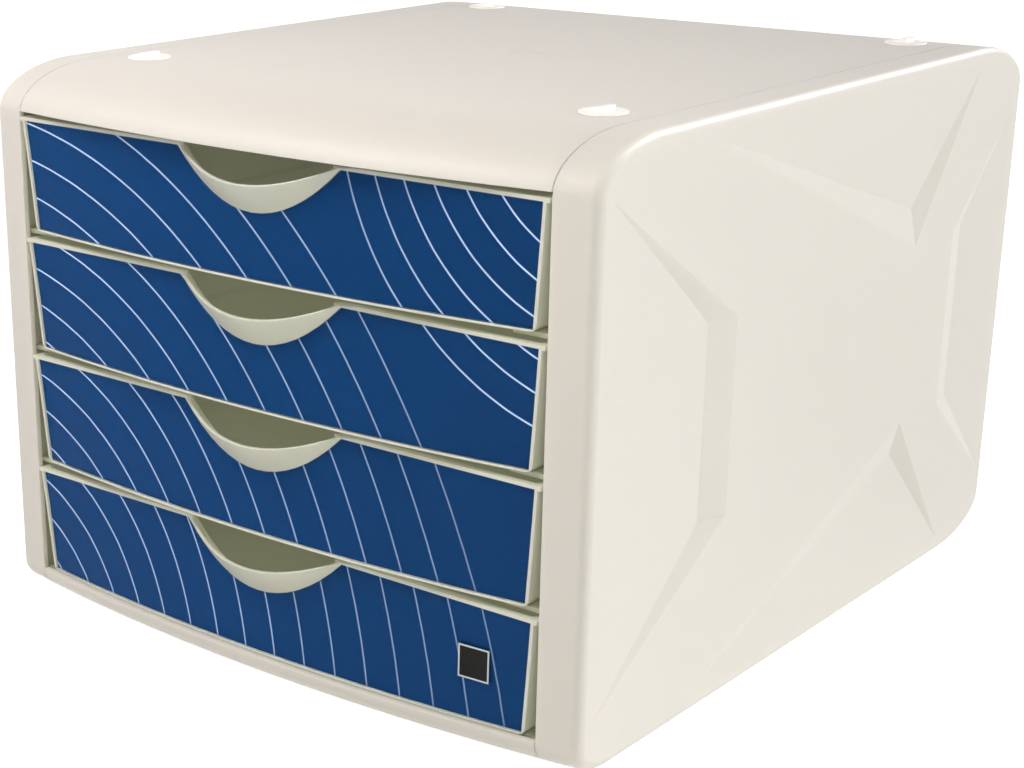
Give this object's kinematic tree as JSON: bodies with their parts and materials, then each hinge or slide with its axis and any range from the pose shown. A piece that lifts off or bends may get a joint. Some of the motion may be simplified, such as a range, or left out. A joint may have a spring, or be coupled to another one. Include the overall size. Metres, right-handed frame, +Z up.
{
  "type": "file box with drawers",
  "caption": "Desktop file box for A4 and C4 paper: bowed plastic housing with sliding drawers, printed fronts behind clear windows and moulded pull lips",
  "frame": {"origin": "on the desk plane, at the middle of the overall width and of the overall depth", "axes": "+Z up; the drawers open towards -Y and the back panel faces +Y; +X is to the right as seen from the front"},
  "size_m": [0.29, 0.3478, 0.2295],
  "materials": {
    "housing_plastic": "fine satin grain, warm off-white",
    "runner_plastic": "moulded, satin, slightly darker off-white",
    "drawer_plastic": "smooth moulded, off-white",
    "card_print": "printed card, blue with pale fine lines",
    "clear_window": "clear moulded plastic",
    "cap_plastic": "smooth white",
    "foot_rubber": "soft matt grey"
  },
  "bodies": {
    "housing": {"top_cover": "housing_plastic", "left_cheek": "housing_plastic", "right_cheek": "housing_plastic", "base_panel": "housing_plastic", "back_panel": "housing_plastic", "left_runner_frame": "runner_plastic", "right_runner_frame": "runner_plastic", "front_left_cap": "cap_plastic", "front_right_cap": "cap_plastic", "rear_left_cap": "cap_plastic", "rear_right_cap": "cap_plastic", "front_left_foot": "foot_rubber", "front_right_foot": "foot_rubber", "rear_left_foot": "foot_rubber", "rear_right_foot": "foot_rubber"},
    "drawer_1": {"drawer_1_tray": "drawer_plastic", "drawer_1_card": "card_print", "drawer_1_window": "clear_window"},
    "drawer_2": {"drawer_2_tray": "drawer_plastic", "drawer_2_card": "card_print", "drawer_2_window": "clear_window"},
    "drawer_3": {"drawer_3_tray": "drawer_plastic", "drawer_3_card": "card_print", "drawer_3_window": "clear_window"},
    "drawer_4": {"drawer_4_tray": "drawer_plastic", "drawer_4_card": "card_print", "drawer_4_window": "clear_window"}
  },
  "joints": [
    {"name": "drawer_1_slide", "type": "slide", "parent": "housing", "child": "drawer_1", "axis": [0, -1, 0], "range_m": [0, 0.25]},
    {"name": "drawer_2_slide", "type": "slide", "parent": "housing", "child": "drawer_2", "axis": [0, -1, 0], "range_m": [0, 0.25]},
    {"name": "drawer_3_slide", "type": "slide", "parent": "housing", "child": "drawer_3", "axis": [0, -1, 0], "range_m": [0, 0.25]},
    {"name": "drawer_4_slide", "type": "slide", "parent": "housing", "child": "drawer_4", "axis": [0, -1, 0], "range_m": [0, 0.25]}
  ]
}
